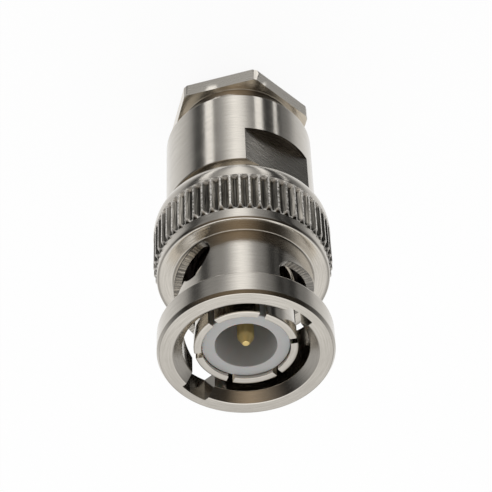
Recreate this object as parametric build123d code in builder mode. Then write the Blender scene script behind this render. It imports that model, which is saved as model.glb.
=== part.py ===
import os
from math import cos, radians, sin

from build123d import *

os.makedirs("parts", exist_ok=True)

# Bayonet coaxial cable plug, clamp type, standing on the rear face of its clamp nut.
# +Z runs along the axis towards the mating face. Millimetres and degrees.
# Angles turn about +Z from +X, counter-clockwise seen from the mating face.

# Outer contact, whose radius is the size that the family of plugs shares
finger_radius = 4.05
finger_wall = 0.6
finger_relief = 0.12
finger_tip_band = 1.3
finger_tip_edge = 0.12
finger_slots = 6
finger_slot_width = 0.53
finger_slot_angle = 11.0
sleeve_recess = 0.71
sleeve_bore_depth = 10.8
collar_depth = 7.55
collar_edge = 0.08
flange_depth = 10.6
flange_thickness = 1.0
flange_step = 0.8
neck_step = 0.07
neck_wall = 1.23

# Coupling ring: front ring and mouth
front_ring_wall = 1.3
front_ring_length = 2.15
front_ring_chamfer_width = 0.2
front_ring_chamfer_length = 0.3
mouth_chamfer = 0.72

# Coupling ring: bayonet tube, entries and cam slots
tube_wall = 0.66
tube_length = 5.95
entry_angle = 46.0
entry_width = 2.4
entry_recess = 0.46
cam_start_angle = -10.0
cam_rise = 3.45
slot_side_angle = 15.5
slot_corner_angle = 12.0
slot_corner_length = 1.15
slot_corner_steps = 4
slot_rear_rise = 2.48
slot_ramp_steps = 6
slot_end_angle = -96.3
slot_end_radius = 1.1
slot_end_wall = 0.1
detent_angle = -89.0
detent_rise = 1.08
detent_radius = 1.15

# Coupling ring: grip
grip_band_wall = 1.35
grip_band_length = 1.05
grip_band_edge = 0.1
knurl_length = 3.7
knurl_teeth = 58
knurl_first_angle = 4.8
knurl_height = 0.26
knurl_base_width = 0.66
knurl_crest_width = 0.13
knurl_overlap = 0.1
rear_rim_height = 0.29
rear_rim_length = 1.8
rear_rim_straight = 0.25
rear_rim_rounding = 0.83
rear_rim_steps = 3
lip_thickness = 1.0

# Insulators and centre contact
insulator_recess = 0.3
insulator_edge = 0.08
insulator_wall = 1.015
cavity_depth = 5.2
pin_recess = 1.2
pin_radius = 0.67
pin_tip_radius = 0.28
pin_tip_edge = 0.08
pin_taper_length = 0.65
contact_body_step = 0.43
contact_body_setback = 2.1
contact_cup_length = 1.8
contact_cup_wall = 0.5
contact_overhang = 0.8

# Front gasket, washers and wave springs
gasket_thickness = 0.8
gasket_edge = 0.15
washer_thickness = 0.25
spring_strip = 0.2
spring_waves = 3
spring_steps = 12

# Rear body
hub_wall = 1.0
hub_length = 1.2
body_step = 1.18
body_length = 8.12
body_edge = 0.08
neck_seat_length = 1.75
clamp_bore_step = 0.4
nut_bore_step = 0.65
flat_cut = 0.85
flat_length = 3.85
flat_angle = 55.8

# Clamp nut and what it presses on
nut_thread_length = 4.4
nut_thread_chamfer = 0.2
nut_travel_in = 2.0
nut_end_gap = 0.2
hex_step = 0.47
hex_thickness = 1.35
hex_corner_angle = 16.3
hex_corner_cut = 0.09
nut_wall = 1.73
cable_gasket_grip = 0.25
clamp_washer_play = 0.2
clamp_washer_thickness = 0.4
braid_clamp_thickness = 0.8
braid_clamp_step = 1.25
braid_clamp_nose = 0.25
braid_clamp_nose_width = 0.92

# Clearances
slide_clearance = 0.08
neck_clearance = 0.07
thread_clearance = 0.07
seat_clearance = 0.02
stop_clearance = 0.05
contact_clearance = 0.01
overshoot = 1.0

# Levels along the axis, worked out from the rear face of the clamp nut
hex_front = hex_thickness
body_rear = hex_front + nut_travel_in + nut_end_gap
body_front = body_rear + body_length
hub_front = body_front + hub_length
coupling_rear = hub_front + stop_clearance
lip_front = coupling_rear + lip_thickness
knurl_rear = coupling_rear + rear_rim_length
knurl_front = knurl_rear + knurl_length
shoulder = knurl_front + grip_band_length
ring_rear = shoulder + tube_length
mating_face = ring_rear + front_ring_length

sleeve_front = mating_face - sleeve_recess
collar_front = mating_face - collar_depth
flange_front = mating_face - flange_depth
flange_rear = flange_front - flange_thickness
neck_rear = hub_front - neck_seat_length
sleeve_step = mating_face - sleeve_bore_depth
insulator_front = sleeve_front - insulator_recess
pin_front = mating_face - pin_recess
contact_step = sleeve_step - contact_body_setback
contact_rear = neck_rear - contact_overhang
nut_front = hex_front + nut_thread_length
nut_bore_front = nut_front + nut_travel_in + stop_clearance
cable_gasket_rear = nut_front + clamp_washer_thickness
braid_clamp_front = neck_rear - nut_travel_in - seat_clearance
cable_gasket_front = braid_clamp_front - braid_clamp_thickness

# Radial sizes, worked out from the outer contact
finger_relief_radius = finger_radius - finger_relief
sleeve_bore_radius = finger_radius - finger_wall
flange_radius = finger_radius + flange_step
neck_radius = finger_radius - neck_step
neck_bore_radius = neck_radius - neck_wall
coupling_bore_radius = flange_radius + slide_clearance
tube_radius = coupling_bore_radius + tube_wall
front_ring_radius = tube_radius + front_ring_wall
entry_depth_radius = tube_radius + entry_recess
grip_band_radius = tube_radius + grip_band_wall
knurl_tip_radius = grip_band_radius + knurl_height
rear_rim_radius = grip_band_radius + rear_rim_height
lip_radius = neck_radius + neck_clearance
washer_outer_radius = flange_radius - slide_clearance
washer_inner_radius = neck_radius + neck_clearance
insulator_radius = sleeve_bore_radius - seat_clearance
cavity_radius = insulator_radius - insulator_wall
contact_body_radius = pin_radius + contact_body_step
neck_seat_radius = neck_radius + seat_clearance
hub_radius = neck_seat_radius + hub_wall
body_radius = hub_radius + body_step
flat_half_width = body_radius - flat_cut
clamp_bore_radius = neck_seat_radius + clamp_bore_step
clamp_radius = clamp_bore_radius - slide_clearance
nut_bore_radius = clamp_bore_radius + nut_bore_step
nut_thread_radius = nut_bore_radius - thread_clearance
cable_bore_radius = nut_thread_radius - nut_wall
braid_clamp_bore = cable_bore_radius - braid_clamp_step
hex_half_width = nut_thread_radius + hex_step
hex_corner_radius = hex_half_width / cos(radians(30)) - hex_corner_cut

slot_end_depth = front_ring_length + tube_length - slot_end_wall - slot_end_radius
detent_depth = slot_end_depth - detent_rise
spring_space = flange_rear - lip_front - 2 * washer_thickness
spring_wave = (spring_space / 2 - spring_strip) / 2 - contact_clearance


def radial_plane(angle):
    """Plane through the axis: local X points outwards at the angle, local Y is +Z."""
    outward = (cos(radians(angle)), sin(radians(angle)), 0)
    return Plane(origin=(0, 0, 0), x_dir=outward, z_dir=(outward[1], -outward[0], 0))


def wall_plane(angle):
    """Plane across a radius at the angle: local X is tangential, local Y is +Z."""
    outward = (cos(radians(angle)), sin(radians(angle)), 0)
    return Plane(origin=(0, 0, 0), x_dir=(-outward[1], outward[0], 0), z_dir=outward)


def slot_rear(turn):
    """Depth of the rear wall of a cam slot, at a turn in degrees past the entry."""
    passed = (turn - slot_end_angle) / (slot_side_angle - slot_end_angle)
    return slot_end_depth + slot_end_radius - passed * slot_rear_rise


def slot_sections():
    """Turn past the entry, front depth and rear depth of each section of a cam slot."""
    sections = []
    for step in range(slot_corner_steps + 1):
        sweep = radians(90 * step / slot_corner_steps)
        turn = slot_side_angle - slot_corner_angle * (1 - cos(sweep))
        rear = slot_rear(turn) - slot_corner_length * (1 - sin(sweep))
        sections.append((turn, front_ring_length, rear))
    for step in range(slot_ramp_steps + 1):
        passed = step / slot_ramp_steps
        turn = cam_start_angle - (cam_start_angle - detent_angle) * passed
        sections.append((turn, front_ring_length + cam_rise * passed, slot_rear(turn)))
    return sections


def rear_rim_curve():
    """Points of the rounded rear rim, from its straight part in to the rear face."""
    length = rear_rim_length - rear_rim_straight
    sweeps = [radians(90 * step / rear_rim_steps) for step in range(rear_rim_steps + 1)]
    return [
        (
            rear_rim_radius - rear_rim_rounding * (1 - cos(sweep)),
            coupling_rear + length * (1 - sin(sweep)),
        )
        for sweep in sweeps
    ]


# One tooth of the grip: flanks that narrow to the crest, and a front end that slopes
with BuildPart() as grip_tooth:
    tooth_foot = grip_band_radius - knurl_overlap
    with BuildSketch(Plane.XY.offset(knurl_rear - knurl_overlap)):
        Polygon(
            (tooth_foot, -knurl_base_width / 2),
            (grip_band_radius, -knurl_base_width / 2),
            (knurl_tip_radius, -knurl_crest_width / 2),
            (knurl_tip_radius, knurl_crest_width / 2),
            (grip_band_radius, knurl_base_width / 2),
            (tooth_foot, knurl_base_width / 2),
            align=None,
        )
    extrude(amount=knurl_length + 2 * knurl_overlap)
    with BuildSketch(Plane.XZ):
        Polygon(
            (tooth_foot, knurl_rear - knurl_overlap),
            (knurl_tip_radius, knurl_rear - knurl_overlap),
            (knurl_tip_radius, knurl_front - knurl_height),
            (tooth_foot, knurl_front + knurl_overlap),
            align=None,
        )
    extrude(amount=knurl_base_width, both=True, mode=Mode.INTERSECT)


# Coupling ring
with BuildPart() as coupling_ring:
    with BuildSketch(Plane.XZ):
        with BuildLine():
            Polyline(
                (lip_radius, coupling_rear),
                (lip_radius, lip_front),
                (coupling_bore_radius, lip_front),
                (coupling_bore_radius, mating_face - mouth_chamfer),
                (coupling_bore_radius + mouth_chamfer, mating_face),
                (front_ring_radius - front_ring_chamfer_width, mating_face),
                (front_ring_radius, mating_face - front_ring_chamfer_length),
                (front_ring_radius, ring_rear),
                (tube_radius, ring_rear),
                (tube_radius, shoulder),
                (grip_band_radius - grip_band_edge, shoulder),
                (grip_band_radius, shoulder - grip_band_edge),
                (grip_band_radius, knurl_rear),
                (rear_rim_radius, knurl_rear),
                *rear_rim_curve(),
                close=True,
            )
        make_face()
    revolve(axis=Axis.Z)

    # Grip teeth all round
    with PolarLocations(0, knurl_teeth, start_angle=knurl_first_angle):
        add(grip_tooth.part)

    # Straight entries for the lugs of the mating part, blind inside the front ring
    with BuildSketch(Plane.XY.offset(ring_rear)):
        Rectangle(3 * entry_depth_radius, entry_width, rotation=entry_angle)
        Circle(entry_depth_radius, mode=Mode.INTERSECT)
    extrude(amount=front_ring_length, mode=Mode.SUBTRACT)

    # Cam slots, each with a detent at its end
    for entry in (entry_angle, entry_angle + 180):
        for turn, front, rear in slot_sections():
            with BuildSketch(radial_plane(entry + turn)):
                with Locations((tube_radius, mating_face - (front + rear) / 2)):
                    Rectangle(2 * overshoot, rear - front)
        loft(ruled=True, mode=Mode.SUBTRACT)
        with BuildSketch(wall_plane(entry + (detent_angle + slot_end_angle) / 2)):
            half_step = radians(detent_angle - slot_end_angle) / 2 * tube_radius
            with Locations((half_step, mating_face - detent_depth)):
                Circle(detent_radius)
            with Locations((-half_step, mating_face - slot_end_depth)):
                Circle(slot_end_radius)
            make_hull()
        extrude(amount=tube_radius + overshoot, mode=Mode.SUBTRACT)
coupling_ring.part.label = "coupling_ring"
export_step(coupling_ring.part, "parts/coupling_ring.step")


# Outer contact: spring fingers, gasket collar, flange and neck, turned from one bar
with BuildPart() as outer_contact:
    with BuildSketch(Plane.XZ):
        with BuildLine():
            Polyline(
                (sleeve_bore_radius, sleeve_front),
                (finger_radius - finger_tip_edge, sleeve_front),
                (finger_radius, sleeve_front - finger_tip_edge),
                (finger_radius, sleeve_front - finger_tip_band),
                (finger_relief_radius, sleeve_front - finger_tip_band - finger_tip_edge),
                (finger_relief_radius, collar_front),
                (finger_radius - collar_edge, collar_front),
                (finger_radius, collar_front - collar_edge),
                (finger_radius, flange_front),
                (flange_radius, flange_front),
                (flange_radius, flange_rear),
                (neck_radius, flange_rear),
                (neck_radius, neck_rear),
                (neck_bore_radius, neck_rear),
                (neck_bore_radius, sleeve_step),
                (sleeve_bore_radius, sleeve_step),
                close=True,
            )
        make_face()
    revolve(axis=Axis.Z)
    with BuildSketch(Plane.XY.offset(sleeve_front)):
        with PolarLocations(finger_radius, finger_slots, start_angle=finger_slot_angle):
            Rectangle(finger_radius, finger_slot_width)
    extrude(amount=-(sleeve_front - collar_front), mode=Mode.SUBTRACT)
outer_contact.part.label = "outer_contact"
export_step(outer_contact.part, "parts/outer_contact.step")


# Front insulator, open at the front for the nose of the mating part
with BuildPart() as front_insulator:
    with BuildSketch(Plane.XZ):
        with BuildLine():
            Polyline(
                (pin_radius + contact_clearance, sleeve_step),
                (insulator_radius, sleeve_step),
                (insulator_radius, insulator_front - insulator_edge),
                (insulator_radius - insulator_edge, insulator_front),
                (cavity_radius, insulator_front),
                (cavity_radius, insulator_front - cavity_depth),
                (pin_radius + contact_clearance, insulator_front - cavity_depth),
                close=True,
            )
        make_face()
    revolve(axis=Axis.Z)
front_insulator.part.label = "front_insulator"
export_step(front_insulator.part, "parts/front_insulator.step")


# Rear insulator, a stepped bush round the body of the centre contact
with BuildPart() as rear_insulator:
    bush_radius = neck_bore_radius - seat_clearance
    cup_radius = contact_body_radius + contact_clearance
    with BuildSketch(Plane.XZ):
        with BuildLine():
            Polyline(
                (pin_radius + contact_clearance, sleeve_step),
                (bush_radius, sleeve_step),
                (bush_radius, neck_rear),
                (cup_radius, neck_rear),
                (cup_radius, contact_step),
                (pin_radius + contact_clearance, contact_step),
                close=True,
            )
        make_face()
    revolve(axis=Axis.Z)
rear_insulator.part.label = "rear_insulator"
export_step(rear_insulator.part, "parts/rear_insulator.step")


# Centre contact: pin with a tapered tip, and a solder cup at the rear
with BuildPart() as centre_contact:
    with BuildSketch(Plane.XZ):
        with BuildLine():
            Polyline(
                (0, contact_rear),
                (contact_body_radius, contact_rear),
                (contact_body_radius, contact_step),
                (pin_radius, contact_step),
                (pin_radius, pin_front - pin_taper_length),
                (pin_tip_radius, pin_front - pin_tip_edge),
                (pin_tip_radius - pin_tip_edge, pin_front),
                (0, pin_front),
                close=True,
            )
        make_face()
    revolve(axis=Axis.Z)
    with BuildSketch(Plane.XY.offset(contact_rear)):
        Circle(contact_body_radius - contact_cup_wall)
    extrude(amount=contact_cup_length, mode=Mode.SUBTRACT)
centre_contact.part.label = "centre_contact"
export_step(centre_contact.part, "parts/centre_contact.step")


# Front gasket, on the collar against the flange
with BuildPart() as front_gasket:
    with BuildSketch(Plane.XY.offset(flange_front)):
        Circle(washer_outer_radius)
        Circle(finger_radius + seat_clearance, mode=Mode.SUBTRACT)
    extrude(amount=gasket_thickness)
    chamfer(front_gasket.edges().group_by(Axis.Z)[-1], gasket_edge)
front_gasket.part.label = "front_gasket"
export_step(front_gasket.part, "parts/front_gasket.step")


def flat_ring(height, thickness, outer, inner):
    """A flat ring standing on the height, from the inner to the outer radius."""
    with BuildPart() as ring:
        with BuildSketch(Plane.XY.offset(height)):
            Circle(outer)
            Circle(inner, mode=Mode.SUBTRACT)
        extrude(amount=thickness)
    return ring.part


def wave_ring(middle, first_angle):
    """A ring of spring strip that waves about the middle height, in two half turns."""
    width = washer_outer_radius - washer_inner_radius - slide_clearance
    with BuildPart() as ring:
        for half in (0, 180):
            for step in range(spring_steps + 1):
                angle = half + step * 180 / spring_steps
                wave = spring_wave * sin(radians(spring_waves * (angle - first_angle)))
                with BuildSketch(radial_plane(angle)):
                    with Locations(((washer_outer_radius + washer_inner_radius) / 2, middle + wave)):
                        Rectangle(width, spring_strip)
            loft(ruled=True)
    return ring.part


# Spring washers between the flange and the lip of the coupling ring
flange_washer_rear = flange_rear - washer_thickness
flange_washer = flat_ring(
    flange_washer_rear, washer_thickness, washer_outer_radius, washer_inner_radius
)
flange_washer.label = "flange_washer"
export_step(flange_washer, "parts/flange_washer.step")

lip_washer = flat_ring(lip_front, washer_thickness, washer_outer_radius, washer_inner_radius)
lip_washer.label = "lip_washer"
export_step(lip_washer, "parts/lip_washer.step")

front_wave_spring = wave_ring(flange_washer_rear - spring_space / 4, 0)
front_wave_spring.label = "front_wave_spring"
export_step(front_wave_spring, "parts/front_wave_spring.step")

rear_wave_spring = wave_ring(flange_washer_rear - spring_space * 3 / 4, 180 / spring_waves)
rear_wave_spring.label = "rear_wave_spring"
export_step(rear_wave_spring, "parts/rear_wave_spring.step")


# Rear body: hub for the coupling ring, wrench flats, bores for the neck, clamp and nut
with BuildPart() as rear_body:
    with BuildSketch(Plane.XZ):
        with BuildLine():
            Polyline(
                (neck_seat_radius, hub_front),
                (hub_radius, hub_front),
                (hub_radius, body_front),
                (body_radius - body_edge, body_front),
                (body_radius, body_front - body_edge),
                (body_radius, body_rear + body_edge),
                (body_radius - body_edge, body_rear),
                (nut_bore_radius, body_rear),
                (nut_bore_radius, nut_bore_front),
                (clamp_bore_radius, nut_bore_front),
                (clamp_bore_radius, neck_rear),
                (neck_seat_radius, neck_rear),
                close=True,
            )
        make_face()
    revolve(axis=Axis.Z)
    with BuildSketch(Plane.XY.offset(body_front)):
        with PolarLocations(flat_half_width + overshoot, 2, start_angle=flat_angle):
            Rectangle(2 * overshoot, 2 * body_radius)
    extrude(amount=-flat_length, mode=Mode.SUBTRACT)
rear_body.part.label = "rear_body"
export_step(rear_body.part, "parts/rear_body.step")


# Braid clamp, with a bevelled nose towards the neck
with BuildPart() as braid_clamp:
    with BuildSketch(Plane.XZ):
        with BuildLine():
            Polyline(
                (braid_clamp_bore, cable_gasket_front),
                (clamp_radius, cable_gasket_front),
                (clamp_radius, braid_clamp_front - braid_clamp_nose),
                (clamp_radius - braid_clamp_nose_width, braid_clamp_front),
                (braid_clamp_bore, braid_clamp_front),
                close=True,
            )
        make_face()
    revolve(axis=Axis.Z)
braid_clamp.part.label = "braid_clamp"
export_step(braid_clamp.part, "parts/braid_clamp.step")


# Cable gasket and the washer between it and the nut
cable_gasket = flat_ring(
    cable_gasket_rear,
    cable_gasket_front - cable_gasket_rear,
    clamp_radius,
    cable_bore_radius - cable_gasket_grip,
)
cable_gasket.label = "cable_gasket"
export_step(cable_gasket, "parts/cable_gasket.step")

clamp_washer = flat_ring(
    nut_front,
    clamp_washer_thickness,
    clamp_radius,
    cable_bore_radius + clamp_washer_play,
)
clamp_washer.label = "clamp_washer"
export_step(clamp_washer, "parts/clamp_washer.step")


# Clamp nut: hexagon with slightly rounded-off corners, threaded neck and cable bore
with BuildPart() as clamp_nut:
    with BuildSketch():
        RegularPolygon(hex_half_width, 6, major_radius=False, rotation=hex_corner_angle)
        Circle(hex_corner_radius, mode=Mode.INTERSECT)
    extrude(amount=hex_thickness)
    with BuildSketch(Plane.XY.offset(hex_front)):
        Circle(nut_thread_radius)
    extrude(amount=nut_thread_length)
    chamfer(clamp_nut.edges().group_by(Axis.Z)[-1], nut_thread_chamfer)
    with BuildSketch():
        Circle(cable_bore_radius)
    extrude(amount=nut_front, mode=Mode.SUBTRACT)
clamp_nut.part.label = "clamp_nut"
export_step(clamp_nut.part, "parts/clamp_nut.step")
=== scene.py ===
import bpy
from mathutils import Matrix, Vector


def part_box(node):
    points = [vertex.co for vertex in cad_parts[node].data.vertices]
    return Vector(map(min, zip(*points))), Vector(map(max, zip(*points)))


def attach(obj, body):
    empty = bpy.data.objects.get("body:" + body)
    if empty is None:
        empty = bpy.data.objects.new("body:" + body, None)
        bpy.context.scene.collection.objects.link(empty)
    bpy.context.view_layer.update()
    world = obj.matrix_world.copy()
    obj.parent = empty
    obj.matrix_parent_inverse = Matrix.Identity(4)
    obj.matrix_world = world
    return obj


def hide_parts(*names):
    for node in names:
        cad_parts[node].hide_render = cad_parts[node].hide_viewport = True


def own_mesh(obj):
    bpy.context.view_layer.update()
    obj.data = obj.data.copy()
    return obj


bl_info = {
    "name": "Bayonet coaxial plug",
    "version": (1, 0, 0),
    "blender": (4, 5, 0),
    "location": "View3D > Sidebar > Coaxial plug",
    "description": "Finishes the pieces of a clamp-type bayonet coaxial cable plug",
    "category": "Object",
}

from math import atan2, cos, pi, radians, sin

import bmesh
import bpy
from bpy.props import FloatProperty, FloatVectorProperty, IntProperty, PointerProperty
from mathutils import Matrix, Vector

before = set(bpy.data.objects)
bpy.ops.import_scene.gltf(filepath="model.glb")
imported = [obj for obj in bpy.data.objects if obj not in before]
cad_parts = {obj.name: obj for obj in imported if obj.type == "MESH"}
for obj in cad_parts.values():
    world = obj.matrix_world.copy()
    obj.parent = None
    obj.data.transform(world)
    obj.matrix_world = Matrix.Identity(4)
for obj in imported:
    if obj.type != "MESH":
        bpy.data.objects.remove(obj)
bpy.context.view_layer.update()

MM = 0.001
# Offsets too small to see, which keep faces from falling in the same place
HAIR = 0.01 * MM
TINY = 0.001 * MM
# Faces that meet at a wider angle than this look sharp
SHARP_ANGLE = radians(28)
# Steps round a rounded corner, and where beside it, in lengths of its edge, shading turns flat
EDGE_STEPS = 5
EDGE_HOLD = 1.7

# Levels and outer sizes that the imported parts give, in metres
RING_LOW, RING_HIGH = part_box("coupling_ring")
CONTACT_LOW, CONTACT_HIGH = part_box("outer_contact")
BODY_LOW, BODY_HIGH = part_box("rear_body")
NUT_LOW, NUT_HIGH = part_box("clamp_nut")
INSULATOR_LOW, INSULATOR_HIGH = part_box("front_insulator")
PIN_LOW, PIN_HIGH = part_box("centre_contact")
GASKET_LOW, GASKET_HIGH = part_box("front_gasket")
MATING_FACE = RING_HIGH.z
PLUG_BODY = "plug_body"

# What the metal mirrors below and above the horizon, as levels at turns in degrees from the
# front, positive to the right of the camera: dark flags beside a white front and back
LOW_STUDIO = (
    (-180, 0.98), (-160, 0.92), (-144, 0.82), (-128, 0.76), (-112, 0.67), (-96, 0.53),
    (-85, 0.40), (-79, 0.24), (-73, 0.055), (-61, 0.055), (-56, 0.20), (-46, 0.26),
    (-36, 0.26), (-26, 0.38), (-16, 0.76), (-7, 1.08), (2, 1.00), (9, 0.78),
    (16, 0.42), (24, 0.27), (33, 0.19), (42, 0.07), (47, 0.01), (56, 0.09),
    (62, 0.01), (68, 0.03), (74, 0.17), (86, 0.20), (94, 0.34), (104, 0.58),
    (128, 0.74), (180, 0.98),
)
HIGH_STUDIO = (
    (-180, 0.76), (-140, 0.66), (-112, 0.62), (-90, 0.22), (-72, 0.02), (-40, 0.15),
    (-5, 0.29), (18, 0.17), (36, 0.03), (70, 0.03), (90, 0.20), (112, 0.60),
    (150, 0.66), (180, 0.76),
)

# Sizes of the knurled grip that its shape and its finish both take
GRIP_SIZES = (
    "Teeth",
    "First tooth",
    "Root radius",
    "Tip radius",
    "Crest width",
    "Base width",
    "Front",
    "Rear",
)

# Bright cards on the floor close to the body, as first and last angle on its surface
NEAR_CARDS = ((-27.5, -20.5), (13.0, 19.0), (29.0, 31.5))


def length(name, description, millimetres):
    """A length that a user may change, shown in the scene's unit."""
    return FloatProperty(
        name=name,
        description=description,
        default=millimetres * MM,
        unit="LENGTH",
        precision=5,
    )


def turn(name, description, degrees):
    """An angle that a user may change."""
    return FloatProperty(
        name=name, description=description, default=radians(degrees), subtype="ANGLE"
    )


def colour(name, description, red, green, blue):
    """A linear colour that a user may change."""
    return FloatVectorProperty(
        name=name,
        description=description,
        default=(red, green, blue, 1.0),
        size=4,
        subtype="COLOR",
        min=0.0,
        max=1.0,
    )


def share(name, description, value):
    """A number between nothing and one that a user may change."""
    return FloatProperty(
        name=name, description=description, default=value, min=0.0, max=1.0, subtype="FACTOR"
    )


class PLUG_PG_ring(bpy.types.PropertyGroup):
    """Sizes of the coupling ring. Depths are measured back from the mating face."""

    face_edge: length("Face edge", "Bevel round the front face", 0.24)
    front_radius: length("Front radius", "Radius of the front ring", 6.89)
    front_depth: length("Front depth", "Length of the front ring", 2.15)
    bore_radius: length("Bore radius", "Radius of the bore", 4.93)
    mouth: length("Mouth bevel", "Countersink at the mouth of the bore", 0.72)
    tube_radius: length("Tube radius", "Outer radius of the bayonet tube", 5.59)
    shoulder_depth: length("Shoulder depth", "Depth of the shoulder behind the tube", 8.1)
    band_radius: length("Band radius", "Radius of the plain band ahead of the grip", 6.94)
    band_length: length("Band length", "Length of the plain band", 1.05)
    grip_length: length("Grip length", "Length of the knurled grip", 3.7)
    tip_radius: length("Tip radius", "Radius over the crests of the grip", 7.2)
    root_radius: length("Root radius", "Radius at the foot of the grip's teeth", 6.94)
    crest_width: length("Crest width", "Width of a tooth at its crest", 0.13)
    base_width: length("Base width", "Width of a tooth at its foot", 0.66)
    teeth: IntProperty(name="Teeth", description="Teeth round the grip", default=58, min=3)
    first_tooth: turn("First tooth", "Angle of one tooth's crest", 4.8)
    rim_radius: length("Rim radius", "Radius of the rim behind the grip", 7.229)
    rim_flat: length("Rim flat", "Straight part of the rim", 0.25)
    rear_radius: length("Rear radius", "Radius at which the rounded rim ends", 6.4)
    lip_radius: length("Lip radius", "Radius of the hole in the rear lip", 4.05)
    lip_length: length("Lip thickness", "Thickness of the rear lip", 1.0)
    entry_angle: turn("Entry angle", "Angle of one entry of the cam slots", 46.0)
    entry_width: length("Entry width", "Width of the entry through the front ring", 2.4)
    entry_radius: length("Entry radius", "How far out the entry reaches", 6.05)


class PLUG_PG_slot(bpy.types.PropertyGroup):
    """Outline of a cam slot, unrolled. Turns are measured back from its entry."""

    side: turn("Side", "Turn of the side wall at the entry", 15.5)
    corner_turn: turn("Corner turn", "Turn that the rounded corner takes", 12.0)
    corner_length: length("Corner length", "Depth that the rounded corner takes", 1.15)
    cam_start: turn("Cam start", "Turn at which the cam leaves the front ring", 10.0)
    cam_rise: length("Cam rise", "Depth that the cam gains up to the detent", 3.45)
    rear_rise: length("Rear rise", "How far the rear wall comes forward to the entry", 2.48)
    end_turn: turn("End turn", "Turn of the slot's end", 96.3)
    end_radius: length("End radius", "Radius of the slot's end", 1.1)
    end_wall: length("End wall", "Metal left between the slot and the shoulder", 0.1)
    detent_turn: turn("Detent turn", "Turn of the detent", 89.0)
    detent_rise: length("Detent rise", "How far the detent lies ahead of the end", 1.08)
    detent_radius: length("Detent radius", "Radius of the detent", 1.15)
    edge: length("Edge", "Bevel along the slot's edges", 0.05)


class PLUG_PG_contact(bpy.types.PropertyGroup):
    """Sizes of the outer contact with its spring fingers."""

    radius: length("Radius", "Radius over the finger tips and the collar", 4.05)
    relief_radius: length("Relief radius", "Radius of the fingers behind their tips", 3.93)
    bore_radius: length("Bore radius", "Radius of the bore", 3.45)
    tip_band: length("Tip band", "Length of the thicker finger tips", 1.3)
    tip_edge: length("Tip edge", "Bevel at the finger tips", 0.12)
    collar_depth: length("Collar depth", "Length of the fingers", 6.84)
    flange_length: length("Flange thickness", "Thickness of the flange", 1.0)
    flange_setback: length("Flange setback", "Depth of the flange behind the tips", 9.89)
    neck_radius: length("Neck radius", "Radius of the neck behind the flange", 3.98)
    neck_bore: length("Neck bore", "Radius of the bore through the neck", 2.75)
    bore_depth: length("Bore depth", "Depth of the wide bore behind the tips", 10.09)
    slots: IntProperty(name="Slots", description="Slots between the fingers", default=6, min=2)
    slot_width: length("Slot width", "Width of a slot between fingers", 0.53)
    first_slot: turn("First slot", "Angle of one slot", 11.0)


class PLUG_PG_body(bpy.types.PropertyGroup):
    """Sizes of the rear body."""

    radius: length("Radius", "Outer radius", 6.18)
    hub_radius: length("Hub radius", "Radius of the hub under the coupling ring", 5.0)
    hub_length: length("Hub length", "Length of the hub", 1.2)
    front_bore: length("Front bore", "Radius of the bore round the neck", 4.0)
    clamp_bore: length("Clamp bore", "Radius of the bore for the clamp", 4.4)
    nut_bore: length("Nut bore", "Radius of the bore for the nut", 5.05)
    nut_bore_length: length("Nut bore length", "Length of the bore for the nut", 4.25)
    seat: length("Seat", "Length of the bore round the neck", 1.75)
    flat_half_width: length("Half width", "Distance of a wrench flat from the axis", 5.33)
    flat_length: length("Flat length", "Length of a wrench flat", 3.85)
    flat_angle: turn("Flat angle", "Angle that a wrench flat faces", 55.8)


class PLUG_PG_nut(bpy.types.PropertyGroup):
    """Sizes of the clamp nut."""

    across_flats: length("Across flats", "Size of the hexagon", 10.9)
    thickness: length("Thickness", "Thickness of the hexagon", 1.35)
    corner_angle: turn("Corner angle", "Angle of one corner of the hexagon", 16.3)
    corner_radius: length("Corner radius", "Radius to which the corners are turned off", 6.2)
    neck_radius: length("Neck radius", "Radius of the plain neck", 4.98)
    neck_length: length("Neck length", "Length of the plain neck", 2.3)
    bore_radius: length("Bore radius", "Radius of the cable bore", 3.25)
    pitch: length("Pitch", "Pitch of the thread", 0.75)
    thread_depth: length("Thread depth", "Depth of the thread", 0.42)


class PLUG_PG_finish(bpy.types.PropertyGroup):
    """Colours and strengths of the finishes."""

    nickel: colour("Nickel", "Colour of the nickel plate", 0.82, 0.775, 0.70)
    nickel_shade: colour("Nickel shade", "Nickel in the hollows of its marks", 0.66, 0.62, 0.56)
    # Darker nickel for the grip's flanks: painted shade, standing in for their dark reflections
    grip: colour("Grip", "Nickel between the crests of the grip", 0.45, 0.42, 0.37)
    gold: colour("Gold", "Colour of the gilt pin", 0.84, 0.60, 0.20)
    # The insulator is white; its grey tone here is painted shade
    insulator: colour("Insulator", "Colour of the white insulator", 0.45, 0.445, 0.435)
    silicone: colour("Silicone", "Colour of the gaskets", 0.030, 0.018, 0.016)
    spring: colour("Spring", "Colour of the spring strip", 0.50, 0.48, 0.45)
    turned_roughness: share("Turned roughness", "Roughness of the turned nickel", 0.17)
    milled_roughness: share("Milled roughness", "Roughness of the milled nickel", 0.28)
    mark_strength: share("Mark strength", "Strength of the tool marks", 0.5)


class PLUG_PG_stage(bpy.types.PropertyGroup):
    """The floor, the light and the camera."""

    floor: colour("Floor", "Colour of the floor", 0.985, 0.985, 0.985)
    floor_size: length("Floor size", "Side of the floor", 1200.0)
    floor_drop: length("Floor drop", "Room under the nut, which it takes when unscrewed", 1.6)
    whitening: share("Whitening", "How far the camera sees the floor as plain white", 0.92)
    soft_light: share("Soft light", "Level of the soft light on what isn't metal", 0.85)
    back_light: share("Back light", "How much more light comes from behind", 0.65)
    card_length: length("Card length", "How far the near cards reach from the body", 14.0)
    lens: FloatProperty(
        name="Lens", description="Focal length in millimetres", default=136.56, min=10.0
    )


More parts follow.
